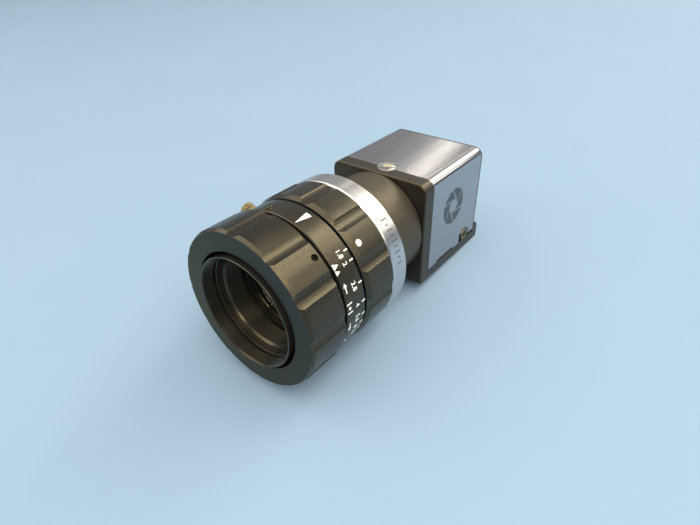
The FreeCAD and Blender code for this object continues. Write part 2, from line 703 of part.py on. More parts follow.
def iris_lock_screw():
    """Knurled brass thumb screw that locks the iris ring on the fixed sleeve."""
    low = THUMB_TOP - THUMB_HEAD_HEIGHT
    shank = rod(LOCK_SCREW_RADIUS, THUMB_ANGLE, THUMB_STATION, SLEEVE_RADIUS + 0.12, low)
    head = rod(THUMB_HEAD_RADIUS, THUMB_ANGLE, THUMB_STATION, low, THUMB_TOP)
    head = chamfered(head, 0.3, lambda edge: len(edge.Vertexes) == 1)
    reach = THUMB_HEAD_RADIUS + 0.06
    grooves = []
    for tooth in range(THUMB_TEETH):
        turn = 2 * math.pi * tooth / THUMB_TEETH
        place = Vector(reach * math.cos(turn), reach * math.sin(turn), 0)
        grooves.append(Part.makeCylinder(0.2, THUMB_HEAD_HEIGHT, place))
    cutter = Part.Compound(grooves)
    cutter.Placement = FreeCAD.Placement(at(low, THUMB_ANGLE, THUMB_STATION),
                                         FreeCAD.Rotation(UP, outward(THUMB_ANGLE)))
    return shank.fuse(head.cut(cutter)).removeSplitter()


# ================================================================ lens: hand rings

def fluted(body, radius, first_angle, rear, front):
    """Body with shallow finger flutes cut along it."""
    drop = math.sqrt(FLUTE_CUTTER ** 2 - FLUTE_HALF_WIDTH ** 2)
    reach = math.sqrt(radius ** 2 - FLUTE_HALF_WIDTH ** 2) + drop
    cutters = []
    for flute in range(FLUTE_COUNT):
        angle = first_angle + flute * 360.0 / FLUTE_COUNT
        cutters.append(pin(FLUTE_CUTTER, (reach, angle), rear, front))
    return body.cut(cutters)


def focus_ring():
    """Front hand ring with the wide flat annulus round the barrel."""
    bore = SKIRT_RADIUS + SNUG
    wall = NUT_FRONT + 0.05
    edge = 0.2
    drop, length = FOCUS_BEVEL
    body = turned([(bore, FOCUS_REAR), (FOCUS_RADIUS - BEVEL, FOCUS_REAR), (FOCUS_RADIUS, FOCUS_REAR + BEVEL),
                   (FOCUS_RADIUS, FOCUS_FRONT - length), (FOCUS_RADIUS - drop, FOCUS_FRONT),
                   (ANNULUS_RADIUS + edge, FOCUS_FRONT), (ANNULUS_RADIUS, FOCUS_FRONT - edge),
                   (ANNULUS_RADIUS, wall), (bore, wall)])
    body = fluted(body, FOCUS_RADIUS, FOCUS_FLUTE_ANGLE, FOCUS_REAR - 1, FOCUS_FRONT + 1)
    for angle in SET_SCREW_ANGLES:
        body = body.cut(rod(SET_SCREW_RADIUS + 0.02, angle, SET_SCREW_STATION, SLEEVE_RADIUS, 23.0))
    return body


def set_screw(angle):
    """Headless screw with a hexagonal socket."""
    screw = rod(SET_SCREW_RADIUS, angle, SET_SCREW_STATION, SKIRT_RADIUS + SNUG, SET_SCREW_TOP)
    reach = 0.5
    depth = 0.7
    corners = []
    for side in range(6):
        turn = math.radians(60 * side)
        corners.append(Vector(reach * math.cos(turn), reach * math.sin(turn), -depth))
    socket = Part.Face(Part.makePolygon(corners + corners[:1])).extrude(Vector(0, 0, depth))
    socket.Placement = FreeCAD.Placement(at(SET_SCREW_TOP, angle, SET_SCREW_STATION),
                                         FreeCAD.Rotation(UP, outward(angle)))
    return screw.cut(socket)


STOP_RADIUS = 19.3
STOP_REAR = 46.3
STOP_FRONT = 47.4


def focus_sleeve():
    """Inner sleeve that turns with the focus ring, with a groove round the stop ring."""
    inner = SLEEVE_RADIUS + RUN
    groove = STOP_RADIUS + RUN
    rear = STOP_REAR - 0.15
    return turned([(inner, SKIRT_REAR), (SKIRT_RADIUS, SKIRT_REAR), (SKIRT_RADIUS, SKIRT_FRONT),
                   (groove, SKIRT_FRONT), (groove, rear), (inner, rear)])


def iris_ring():
    """Rear hand ring; its flutes run out in the cone at its front."""
    inner = SLEEVE_RADIUS + RUN
    drop, length = IRIS_BEVEL
    body = turned([(inner, IRIS_REAR), (IRIS_RADIUS - BEVEL, IRIS_REAR), (IRIS_RADIUS, IRIS_REAR + BEVEL),
                   (IRIS_RADIUS, IRIS_FRONT - length), (IRIS_RADIUS - drop, IRIS_FRONT), (inner, IRIS_FRONT)])
    body = fluted(body, IRIS_RADIUS, IRIS_FLUTE_ANGLE, IRIS_REAR - 1, IRIS_FRONT + 1)
    body = body.cut(rod(LOCK_SCREW_RADIUS + SNUG, THUMB_ANGLE, THUMB_STATION, 18.0, 23.0))
    body = body.cut(rod(LINK_RADIUS + 0.02, LINK_ANGLE, LINK_STATION, 18.0, 23.0))
    return body.cut(rod(LINK_HEAD_RADIUS + SNUG, LINK_ANGLE, LINK_STATION, LINK_SEAT, 23.0))


def iris_link_screw():
    """Screw through the iris ring whose pin turns the cam ring inside the barrel."""
    shank = rod(LINK_RADIUS, LINK_ANGLE, LINK_STATION, LINK_TIP, LINK_SEAT)
    head = rod(LINK_HEAD_RADIUS, LINK_ANGLE, LINK_STATION, LINK_SEAT, LINK_TOP)
    return shank.fuse(head).cut(driver_slot(LINK_TOP, LINK_ANGLE, LINK_STATION, 0.4, 0.5))


# ================================================================ lens: moving barrel and glass

def stairs(steps, start):
    """Corners of a stepped wall: each (radius, station) step runs on to its station."""
    corners = []
    for radius, station in steps:
        corners += [(radius, start), (radius, station)]
        start = station
    return corners


def front_barrel():
    """Barrel that slides for focus: filter thread, ribbed bore, helicoid thread and iris chamber."""
    relief = FILTER_ROOT_RADIUS + 0.05
    lead_in = 0.3
    thread_front = BARREL_FRONT - lead_in
    thread_rear = thread_front - FILTER_TURNS * FILTER_PITCH
    relief_rear = 51.3
    bore = [(relief, BARREL_FRONT), (FILTER_CREST_RADIUS, thread_front)]
    bore += grooved(FILTER_CREST_RADIUS, FILTER_ROOT_RADIUS - FILTER_CREST_RADIUS, FILTER_PITCH,
                    FILTER_TURNS, thread_front - 0.15)
    bore += [(FILTER_CREST_RADIUS, thread_rear - 0.25), (relief, thread_rear - 0.45), (relief, relief_rear)]
    bore += stairs(BARREL_BORE, relief_rear - 0.2)
    nose = BARREL_OUTSIDE[-1][0]
    outside = stairs(BARREL_OUTSIDE, BARREL_REAR) + [(nose - 0.1, BARREL_FRONT)]
    body = turned(bore + outside)
    body = body.cut(sector_cut(CHAMBER_RADIUS - 1, BORE_RADIUS + 1, 27.3, 31.8, LINK_ANGLE - IRIS_TRAVEL - 6,
                               LINK_ANGLE + 6))
    width = 2 * GUIDE_RADIUS + 0.08
    slot = Part.makeBox(4.0, 6.3, width,
                        Vector(CHAMBER_RADIUS - 0.6, FRONT_Y - 22.4, AXIS_HEIGHT - width / 2))
    slot.rotate(CENTRE, AHEAD, GUIDE_ANGLE)
    return body.cut(slot)


REAR_BORE = 8.62            # room for the two rear elements
FOURTH_BORE = 7.62
CELL_RADIUS = 13.3
CELL_REAR = 4.4
CELL_FRONT = 24.4


def rear_cell():
    """Cell for the glass behind the iris, screwed into the barrel from the rear."""
    flange = CHAMBER_RADIUS - 0.05
    inside = stairs(((REAR_BORE, 19.25), (6.9, 20.9), (FOURTH_BORE, CELL_FRONT)), CELL_REAR)
    step = 17.9
    outside = [(flange, CELL_FRONT), (flange, step), (CELL_RADIUS, step), (CELL_RADIUS, CELL_REAR)]
    return turned(inside + outside)


def baffle_tube():
    """Ribbed tube that clamps the front glass and kills stray light."""
    rear = 44.2
    front = 50.0
    outer = FRONT_BORE - 0.05
    inner = 13.3
    flare = 0.5
    bore = [(inner + 0.55, front), (inner + 0.1, front - flare)]
    bore += grooved(inner, 0.25, 0.5, 10, front - flare - 0.1)
    return turned([(outer, rear), (outer, front)] + bore + [(inner, rear)])


def slotted_ring(inner, outer, rear, front):
    """Threaded retaining ring with two spanner slots in its front face."""
    body = ring(inner, outer, rear, front)
    slot = Part.makeBox(2 * outer + 2, 0.5, 0.9, Vector(-outer - 1, FRONT_Y - front, AXIS_HEIGHT - 0.45))
    return body.cut(slot)


def dished(clear, edge, curve, forward):
    """Corner points and bulge of one glass surface: flat rim, then a spherical cap.

    A positive curve bulges away from the glass. forward is 1 for the front surface, -1 for the rear.
    """
    if curve == 0:
        return edge, edge
    sag = abs(curve) - math.sqrt(curve ** 2 - clear ** 2)
    half_sag = abs(curve) - math.sqrt(curve ** 2 - (clear / 2) ** 2)
    sign = forward if curve > 0 else -forward
    return edge + sign * sag, edge + sign * (sag - half_sag)


def element(radius, front_edge, front_curve, front_clear, rear_edge, rear_curve, rear_clear):
    """One glass element, turned from spherical surfaces with a flat rim."""
    front_tip, front_mid = dished(front_clear, front_edge, front_curve, 1)
    rear_tip, rear_mid = dished(rear_clear, rear_edge, rear_curve, -1)
    edges = [
        Part.LineSegment(at(0, 0, rear_tip), at(0, 0, front_tip)),
        Part.LineSegment(at(front_clear, 0, front_edge), at(radius, 0, front_edge)),
        Part.LineSegment(at(radius, 0, front_edge), at(radius, 0, rear_edge)),
        Part.LineSegment(at(radius, 0, rear_edge), at(rear_clear, 0, rear_edge)),
    ]
    for clear, edge, tip, mid, curve in ((front_clear, front_edge, front_tip, front_mid, front_curve),
                                         (rear_clear, rear_edge, rear_tip, rear_mid, rear_curve)):
        if curve == 0:
            edges.append(Part.LineSegment(at(0, 0, tip), at(clear, 0, edge)))
        else:
            edges.append(Part.Arc(at(0, 0, tip), at(clear / 2, 0, mid), at(clear, 0, edge)))
    wire = Part.Wire(Part.__sortEdges__([edge.toShape() for edge in edges]))
    return Part.Face(wire).revolve(CENTRE, AHEAD, 360)


# ================================================================ lens: iris

HOUSING_REAR = 24.6
HOUSING_FLOOR = 25.4
HOUSING_FRONT = 27.0
HOUSING_BORE = 13.42
HOUSING_MOUTH = BLADE_INNER - 0.4
CAM_REAR = 26.6
CAM_FRONT = 27.1
CAM_BORE = 10.85
CAM_RADIUS = HOUSING_BORE - RUN
CAM_SKIRT = 12.86           # inside of the cam ring's skirt
CAM_SKIRT_FRONT = 32.0


def pivot_angle(index):
    return 15.0 + index * 360.0 / BLADE_COUNT


def iris_housing():
    """Cup that carries the blade pivots."""
    rim = CHAMBER_RADIUS - 0.05
    body = turned([(HOUSING_MOUTH, HOUSING_REAR), (rim, HOUSING_REAR), (rim, HOUSING_FRONT),
                   (HOUSING_BORE, HOUSING_FRONT), (HOUSING_BORE, HOUSING_FLOOR),
                   (HOUSING_MOUTH, HOUSING_FLOOR)])
    holes = [pin(PIVOT_RADIUS + 0.04, (PIVOT_CIRCLE, pivot_angle(index)), HOUSING_REAR - 1, HOUSING_FLOOR + 1)
             for index in range(BLADE_COUNT)]
    return body.cut(holes)


def drive_place():
    """Drive pin of the blade whose pivot is at angle 0, as (radius, angle), iris open."""
    x = PIVOT_CIRCLE + DRIVE_IN
    return math.hypot(x, DRIVE_ROUND), math.degrees(math.atan2(DRIVE_ROUND, x))


def iris_blade(index):
    """One thin crescent with its pivot pin behind and its drive pin ahead."""
    base = pivot_angle(index)
    rear = BLADE_FIRST + index * BLADE_SPACING
    front = rear + BLADE_THICKNESS
    leaf = turned([(BLADE_INNER, rear), (BLADE_OUTER, rear), (BLADE_OUTER, front), (BLADE_INNER, front)],
                  base - BLADE_SPAN, BLADE_SPAN)
    middle = (BLADE_INNER + BLADE_OUTER) / 2
    half = (BLADE_OUTER - BLADE_INNER) / 2
    radius, angle = drive_place()
    drive = (radius, base + angle)
    pivot = (PIVOT_CIRCLE, base)
    ear_half = 0.9
    parts = [
        pin(ear_half, pivot, rear, front),
        pin(EAR_TIP, drive, rear, front),
        pin(half, (middle, base - BLADE_SPAN), rear, front),
        pin(half, (middle, base), rear, front),
        bridge(pivot, drive, EAR_TIP, rear, front),
        bridge(pivot, (middle, base), ear_half, rear, front),
        pin(PIVOT_RADIUS, pivot, HOUSING_REAR + 0.1, rear),
        pin(DRIVE_RADIUS, drive, front, CAM_FRONT),
    ]
    return leaf.fuse(parts).removeSplitter()


def bridge(first, second, half, rear, front):
    """Flat bar between two places, each (radius, angle)."""
    start = at(first[0], first[1], rear)
    end = at(second[0], second[1], rear)
    along = (end - start).normalize()
    side = along.cross(ALONG) * half
    corners = [start - side, end - side, end + side, start + side]
    return Part.Face(Part.makePolygon(corners + corners[:1])).extrude(AHEAD * (front - rear))


def cam_path(travel):
    """Place of a drive pin in the cam ring when the iris ring has turned by travel degrees."""
    turn = -math.radians(BLADE_RATIO * travel)
    x = PIVOT_CIRCLE + DRIVE_IN * math.cos(turn) - DRIVE_ROUND * math.sin(turn)
    y = DRIVE_IN * math.sin(turn) + DRIVE_ROUND * math.cos(turn)
    return math.hypot(x, y), math.degrees(math.atan2(y, x)) + travel


def cam_slot(base):
    """Spiral slot that a drive pin runs in."""
    half = DRIVE_RADIUS + 0.06
    steps = 12
    inner = []
    outer = []
    for step in range(steps + 1):
        radius, angle = cam_path(-2.5 + (IRIS_TRAVEL + 5.0) * step / steps)
        inner.append(at(radius - half, base + angle, CAM_REAR - 1))
        outer.append(at(radius + half, base + angle, CAM_REAR - 1))
    curves = []
    for points in (inner, outer):
        curve = Part.BSplineCurve()
        curve.interpolate(points)
        curves.append(curve.toShape())
    ends = [Part.LineSegment(inner[index], outer[index]).toShape() for index in (0, -1)]
    wire = Part.Wire(Part.__sortEdges__(curves + ends))
    return Part.Face(wire).extrude(AHEAD * 3)


def iris_cam_ring():
    """Ring whose spiral slots swing the blades, with a skirt that the link pin turns."""
    body = turned([(CAM_BORE, CAM_REAR), (CAM_RADIUS, CAM_REAR), (CAM_RADIUS, CAM_SKIRT_FRONT),
                   (CAM_SKIRT, CAM_SKIRT_FRONT), (CAM_SKIRT, CAM_FRONT), (CAM_BORE, CAM_FRONT)])
    body = body.cut([cam_slot(pivot_angle(index)) for index in range(BLADE_COUNT)])
    width = 2 * LINK_RADIUS + 0.1
    slot = Part.makeBox(4.0, 5.6, width, Vector(11.0, FRONT_Y - 33.0, AXIS_HEIGHT - width / 2))
    slot.rotate(CENTRE, AHEAD, LINK_ANGLE)
    return body.cut(slot)


# ================================================================ write the nodes

def write_camera():
    save("chassis", chassis())
    save("cover", cover())
    save("cover_top_screw", cover_top_screw())
    save("cover_side_screws", cover_side_screw(), mirrored(cover_side_screw()))
    save("rear_plate", rear_plate())
    save("filter_glass", ring_disc(FILTER_GLASS_RADIUS, -FILTER_SEAT, -FILTER_SEAT + FILTER_THICKNESS - 0.02))
    save("filter_retainer", filter_retainer())
    save("dust_seal", ring(10.25, 11.2, -SENSOR_BOARD + 0.02, -BOSS_DEPTH - 0.02))
    save("sensor_package", sensor_package())
    save("sensor_die", sensor_die())
    save("sensor_cover_glass", sensor_cover_glass())
    save("sensor_board", board(SENSOR_BOARD))
    save("board_standoffs", *on_posts(standoff))
    save("board_spacers", *on_posts(spacer))
    save("board_connector", board_connector())
    save("main_board", board(MAIN_BOARD))
    save("board_screws", *on_posts(board_screw))
    save("usb_controller", usb_controller())
    save("usb_socket", usb_socket())
    save("usb_tongue", usb_tongue())
    save("usb_lock_nuts", *[lock_nut(x, USB_HEIGHT, 4.0, 1.0) for x in (-USB_NUT_X, USB_NUT_X)])
    save("io_connector", io_connector())
    save("io_insert", io_insert())
    save("io_jack_posts", *[lock_nut(x, IO_HEIGHT, 3.2, 2.0) for x in (-IO_NUT_X, IO_NUT_X)])
    save("status_light", status_light())


def ring_disc(radius, rear, front):
    return Part.makeCylinder(radius, front - rear, at(0, 0, rear), AHEAD)


def write_lens():
    save("lens_body", lens_body())
    save("name_ring", name_ring())
    save("guide_screw", guide_screw())
    save("scale_ring", scale_ring())
    save("scale_ring_screw", scale_ring_screw())
    save("iris_lock_screw", iris_lock_screw())
    save("focus_stop_ring", ring(SLEEVE_RADIUS + 0.02, STOP_RADIUS, STOP_REAR, STOP_FRONT))
    save("focus_ring", focus_ring())
    save("focus_set_screws", *[set_screw(angle) for angle in SET_SCREW_ANGLES])
    save("focus_sleeve", focus_sleeve())
    save("helicoid_nut", ring(16.8, SKIRT_RADIUS, SKIRT_FRONT + 0.05, NUT_FRONT))
    save("iris_ring", iris_ring())
    save("iris_link_screw", iris_link_screw())
    save("front_barrel", front_barrel())
    save("rear_cell", rear_cell())
    save("baffle_tube", baffle_tube())
    save("front_retainer", slotted_ring(11.85, FRONT_BORE - 0.05, 42.6, 43.55))
    save("rear_retainer", slotted_ring(7.9, REAR_BORE - 0.04, 8.4, 9.55))
    save("glass_spacer", ring(8.05, REAR_BORE - 0.04, 12.65, 16.35))
    save("iris_retainer", ring(11.0, CHAMBER_RADIUS - 0.05, 32.2, 33.0))


def write_glass():
    save("front_element", element(12.5, 42.5, 40, 11.7, 39.2, 0, 11.0))
    save("second_element", element(10.5, 38.0, 45, 9.0, 36.9, 0, 9.0))
    save("third_element", element(10.5, 36.85, 0, 9.0, 34.0, -18, 7.6))
    save("fourth_element", element(7.6, 23.4, -20, 6.6, 21.0, -60, 6.6))
    save("fifth_element", element(8.6, 19.2, 31, 6.8, 16.4, 31, 8.0))
    save("rear_element", element(8.6, 12.6, 26, 7.6, 9.6, 60, 7.6))


def write_iris():
    save("iris_housing", iris_housing())
    save("iris_cam_ring", iris_cam_ring())
    for index in range(BLADE_COUNT):
        save("iris_blade_%d" % (index + 1), iris_blade(index))


write_camera()
write_lens()
write_glass()
write_iris()
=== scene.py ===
import math

import bmesh
import bpy
from mathutils import Matrix, Vector


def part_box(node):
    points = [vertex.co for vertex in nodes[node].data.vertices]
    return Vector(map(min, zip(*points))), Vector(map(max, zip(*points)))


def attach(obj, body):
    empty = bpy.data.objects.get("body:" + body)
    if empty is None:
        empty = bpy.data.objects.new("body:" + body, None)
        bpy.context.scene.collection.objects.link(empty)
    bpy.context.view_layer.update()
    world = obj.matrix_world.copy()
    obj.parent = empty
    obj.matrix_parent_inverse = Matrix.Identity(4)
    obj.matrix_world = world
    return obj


# Looks for a small cube camera with its 25 mm lens, laid on a pale table.
# Lengths here are in millimetres until MM turns them into metres. Angles round the lens axis are in degrees
# from +X towards +Z, as seen from the front.

MM = 0.001

# camera: where it stands, which way it looks and how wide it sees
CAMERA_PLACE = (80.9, -130.1, 97.3)
CAMERA_AZIMUTH = 39.28
CAMERA_ELEVATION = 34.59
CAMERA_ROLL = -1.55
CAMERA_LENS = 26.14
SENSOR_WIDTH = 36.0
CLIP_START, CLIP_END = 0.005, 20     # metres

# studio, in metres
CEILING_HEIGHT = 1.0
CEILING = (                 # each light: across at y = 0, front end, rear end, width, radiance
    (0.38, -2.2, 2.6, 0.26, 8.5),
    (0.79, -2.2, 2.6, 0.28, 6.5),
    (1.65, -1.5, 2.8, 0.45, 2.8),
    (0.08, 0.3, 2.6, 0.45, 0.9),
    (-0.45, 1.1, 2.8, 0.10, 3.5),
    (-0.755, 1.5, 3.0, 0.05, 4.2),
    (-1.40, 1.3, 3.0, 1.00, 0.2),
    (-0.62, -1.5, 0.25, 1.70, 2.6),
)
CEILING_SLANT = 9.5         # the rows lean this far from the lens axis
WALL_PLACE, WALL_SIZE, WALL_RADIANCE = (-1.25, -1.65, 0.75), (1.2, 1.3), 1.5
WARM = (1.0, 0.93, 0.80)
SURROUND, SURROUND_STRENGTH = (0.78, 0.86, 1.0), 0.27
TABLE_HALF, TABLE_GAP = 4.0, 0.00005

# markings on the lens
PAINT_PROUD = 0.02
PAINT_SUNK = 0.03
BEND_STEP = 0.35
CAPITAL_HEIGHT = 0.70       # of the program's own plain face, in its own units
DOT_ANGLE, DOT_STATION, DOT_DIAMETER = 40.3, -48.1, 1.8
ARROW_ANGLE, ARROW_TIP, ARROW_BASE, ARROW_WIDTH = 74.8, -58.0, -53.1, 1.8
TICK_REAR, TICK_LENGTH, TICK_WIDTH = -51.75, 1.25, 0.36
APERTURES = (
    ("1.8", 41.4),
    ("2", 34.1),
    ("2.8", 17.9),
    ("4", 3.5),
    ("5.6", -7.7),
    ("8", -16.4),
    ("11", -22.8),
)
NUMERAL_STATION, NUMERAL_HEIGHT = -54.6, 1.42
NUMERAL_WEIGHT = 0.006
FOCUS_STATION = -57.5       # row of focus symbols: peaks for far, bars and a dot, a flower for near
FAR_ANGLE, FOCUS_ANGLE, NEAR_ANGLE = 34.5, 5.4, -28.0
POINTER_ANGLES = (21.0, -12.0)
SYMBOL_HALF = 0.92          # half height of a focus symbol
PEAKS = ((-0.7, 0.8, SYMBOL_HALF), (0.9, 0.65, SYMBOL_HALF / 2))    # middle, half width and tip of each peak
LINE_WIDTH = 0.3
CIRCLE_POINTS = 40
BAR_PLACE, BAR_WIDTH, FOCUS_DOT = 1.3, 0.36, 0.42
POINTER_HEAD, POINTER_HALF, POINTER_GAP, POINTER_SHAFT = 1.1, 0.6, 0.12, 1.5
PETAL_COUNT, PETAL_RADIUS, PETAL_CIRCLE, FLOWER_HEART = 5, 0.3, 0.62, 0.24
RING_SCALE_ANGLE, RING_SCALE_STATION = 27.0, -36.5
RING_LINES, RING_LINE_STEP = 9, 1.55
RING_LINE_HEIGHTS = (2.1, 1.2)

# generic mark on the cover's side: an iris of six leaves
MARK_CENTRE = (0.2, 20.4)
MARK_RADIUS, MARK_OPENING, MARK_GAP = 6.2, 2.5, 0.32
LEAF_COUNT, LEAF_ARC_STEPS = 6, 10

# where the angle between the face and the softened normal makes an edge look worn, as cosines
EDGE_START, EDGE_FULL = 0.985, 0.8

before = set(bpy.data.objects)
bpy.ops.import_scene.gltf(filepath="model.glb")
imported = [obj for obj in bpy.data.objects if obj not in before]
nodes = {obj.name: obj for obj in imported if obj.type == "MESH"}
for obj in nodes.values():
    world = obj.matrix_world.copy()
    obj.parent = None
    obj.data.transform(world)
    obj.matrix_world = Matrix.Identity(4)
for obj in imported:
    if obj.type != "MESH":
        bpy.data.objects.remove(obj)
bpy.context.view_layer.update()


def axis_of(node):
    """x and z of the axis of a ring, in metres."""
    low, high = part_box(node)
    return (low.x + high.x) / 2, (low.z + high.z) / 2


def radius_of(node):
    """Outside radius of a ring round the lens axis, in metres."""
    low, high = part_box(node)
    return (high.x - low.x) / 2


AXIS_X, AXIS_Z = axis_of("name_ring")


class Finish:
    """One procedural material. Sizes of its patterns are in millimetres."""

    def __init__(self, name, **sockets):
        self.material = bpy.data.materials.new(name)
        self.material.use_nodes = True
        self.tree = self.material.node_tree
        self.shader = self.tree.nodes["Principled BSDF"]
        for socket, value in sockets.items():
            self.shader.inputs[socket.replace("_", " ")].default_value = value
        self.place = self.node("ShaderNodeTexCoord").outputs["Object"]

    def node(self, kind, **settings):
        made = self.tree.nodes.new(kind)
        for key, value in settings.items():
            setattr(made, key, value)
        return made

    def feed(self, socket, value):
        """Links a socket, or sets it when value is a plain number or colour."""
        if isinstance(value, bpy.types.NodeSocket):
            self.tree.links.new(value, socket)
        else:
            socket.default_value = value

    def maths(self, operation, a, b=0.0):
        made = self.node("ShaderNodeMath", operation=operation)
        self.feed(made.inputs[0], a)
        self.feed(made.inputs[1], b)
        return made.outputs[0]

    def stretched(self, sizes):
        """Object coordinates divided by a size along each axis."""
        made = self.node("ShaderNodeMapping")
        self.feed(made.inputs["Vector"], self.place)
        made.inputs["Scale"].default_value = [1 / (size * MM) for size in sizes]
        return made.outputs[0]

    def turned(self, size, drift=0.15):
        """Coordinates that hardly change round the lens axis, for lathe marks."""
        split = self.node("ShaderNodeSeparateXYZ")
        self.feed(split.inputs[0], self.place)
        across = self.maths("SUBTRACT", split.outputs["X"], AXIS_X)
        up = self.maths("SUBTRACT", split.outputs["Z"], AXIS_Z)
        squares = self.maths("ADD", self.maths("MULTIPLY", across, across), self.maths("MULTIPLY", up, up))
        join = self.node("ShaderNodeCombineXYZ")
        self.feed(join.inputs["X"], self.maths("MULTIPLY", self.maths("SQRT", squares), 1 / (size * MM)))
        self.feed(join.inputs["Y"], self.maths("MULTIPLY", split.outputs["Y"], 1 / (size * MM)))
        self.feed(join.inputs["Z"], self.maths("MULTIPLY", self.maths("ARCTAN2", up, across), drift))
        return join.outputs[0]

    def noise(self, vector, detail=2.0, roughness=0.5):
        made = self.node("ShaderNodeTexNoise")
        self.feed(made.inputs["Vector"], vector)
        made.inputs["Scale"].default_value = 1.0
        made.inputs["Detail"].default_value = detail
        made.inputs["Roughness"].default_value = roughness
        return made.outputs["Fac"]

    def cells(self, vector, distance="EUCLIDEAN"):
        made = self.node("ShaderNodeTexVoronoi", distance=distance)
        self.feed(made.inputs["Vector"], vector)
        made.inputs["Scale"].default_value = 1.0
        return made.outputs["Distance"]

    def spread(self, value, low, high, start, end):
        """Maps value from low..high to start..end, clamped."""
        made = self.node("ShaderNodeMapRange")
        self.feed(made.inputs["Value"], value)
        for key, number in (("From Min", low), ("From Max", high), ("To Min", start), ("To Max", end)):
            made.inputs[key].default_value = number
        return made.outputs[0]

    def blend(self, factor, a, b):
        """Colour a where factor is 0, colour b where it is 1."""
        made = self.node("ShaderNodeMix", data_type="RGBA")
        self.feed(made.inputs["Factor"], factor)
        for socket, colour in zip((made.inputs[6], made.inputs[7]), (a, b)):
            self.feed(socket, colour if isinstance(colour, bpy.types.NodeSocket) else (*colour, 1.0))
        return made.outputs[2]

    def edges(self, radius, noise_size):
        """1 along worn edges and 0 on flat faces, broken up by noise; also the softened normal."""
        bevel = self.node("ShaderNodeBevel", samples=4)
        bevel.inputs["Radius"].default_value = radius * MM
        geometry = self.node("ShaderNodeNewGeometry")
        dot = self.node("ShaderNodeVectorMath", operation="DOT_PRODUCT")
        self.feed(dot.inputs[0], bevel.outputs[0])
        self.feed(dot.inputs[1], geometry.outputs["Normal"])
        edge = self.spread(dot.outputs["Value"], EDGE_START, EDGE_FULL, 0.0, 1.0)
        patches = self.spread(self.noise(self.stretched((noise_size,) * 3), 3.0), 0.42, 0.62, 0.0, 1.0)
        return self.maths("MULTIPLY", edge, patches), bevel.outputs[0]

    def brush_round_axis(self):
        """Turns the stretched gloss so that it runs round the lens axis."""
        self.set("Tangent", self.node("ShaderNodeTangent", direction_type="RADIAL", axis="Y").outputs[0])

    def faces_front(self):
        """1 on faces that look the way the lens looks, 0 on the others: the mask of a painted front
        reflection.
        """
        normal = self.node("ShaderNodeTexCoord").outputs["Normal"]
        split = self.node("ShaderNodeSeparateXYZ")
        self.feed(split.inputs[0], normal)
        return self.spread(split.outputs["Y"], -0.97, -0.90, 1.0, 0.0)

    def relief(self, height, depth, strength=1.0, normal=None):
        """Bump of a height pattern; depth in millimetres."""
        made = self.node("ShaderNodeBump")
        made.inputs["Strength"].default_value = strength
        made.inputs["Distance"].default_value = depth * MM
        self.feed(made.inputs["Height"], height)
        if normal is not None:
            self.feed(made.inputs["Normal"], normal)
        return made.outputs[0]

    def set(self, socket, value):
        self.feed(self.shader.inputs[socket], value)


def anodised(name, grain=0.34, rough=0.28, lathe=0.0, wear=1.0, depth=0.036, bare=0.0, painted_front_reflection=False):
    """Black dyed anodising over bead-blasted aluminium, thin and brownish on its edges; faces that look
    forward can also get a painted dark blue reflection.
    """
    finish = Finish(name, IOR=1.54, Specular_Tint=(1.0, 0.87, 0.52, 1.0))
    fine = finish.noise(finish.stretched((grain,) * 3), 2.0, 0.6)
    broad = finish.noise(finish.stretched((9.0,) * 3), 3.0)
    worn, soft = finish.edges(0.08, 2.0)
    tones = (0.005, 0.005, 0.0055), (0.010, 0.0095, 0.009)
    dark, light = ([part + bare * brown for part, brown in zip(tone, (1.0, 0.8, 0.6))] for tone in tones)
    colour = finish.blend(broad, dark, light)
    colour = finish.blend(finish.spread(fine, 0.45, 0.80, 0.0, 0.7), colour, (0.028, 0.026, 0.022))
    colour = finish.blend(finish.maths("MULTIPLY", worn, 0.5 * wear), colour, (0.20, 0.18, 0.13))
    dust = finish.cells(finish.stretched((2.6,) * 3))
    colour = finish.blend(finish.spread(dust, 0.024, 0.036, 0.6, 0.0), colour, (0.36, 0.36, 0.36))
    roughness = finish.spread(fine, 0.3, 0.75, rough + 0.07, rough - 0.06)
    roughness = finish.maths("ADD", roughness, finish.spread(broad, 0.3, 0.7, -0.04, 0.05))
    if painted_front_reflection:
        # painted reflection: faces that look forward are turned dark blue and partly metallic, standing in
        # for the blue surround they reflect
        front = finish.faces_front()
        colour = finish.blend(finish.maths("MULTIPLY", front, 0.85), colour, (0.016, 0.024, 0.034))
        finish.set("Metallic", finish.maths("MULTIPLY", front, 0.6))
    finish.set("Base Color", colour)
    finish.set("Roughness", roughness)
    height = fine
    if lathe:
        marks = finish.noise(finish.turned(0.09), 2.0)
        grains = finish.maths("MULTIPLY", fine, 1.0 - lathe)
        turned = finish.maths("MULTIPLY", marks, lathe)
        height = finish.maths("ADD", grains, turned)
    finish.set("Normal", finish.relief(height, depth, 0.6, soft))
    return finish.material


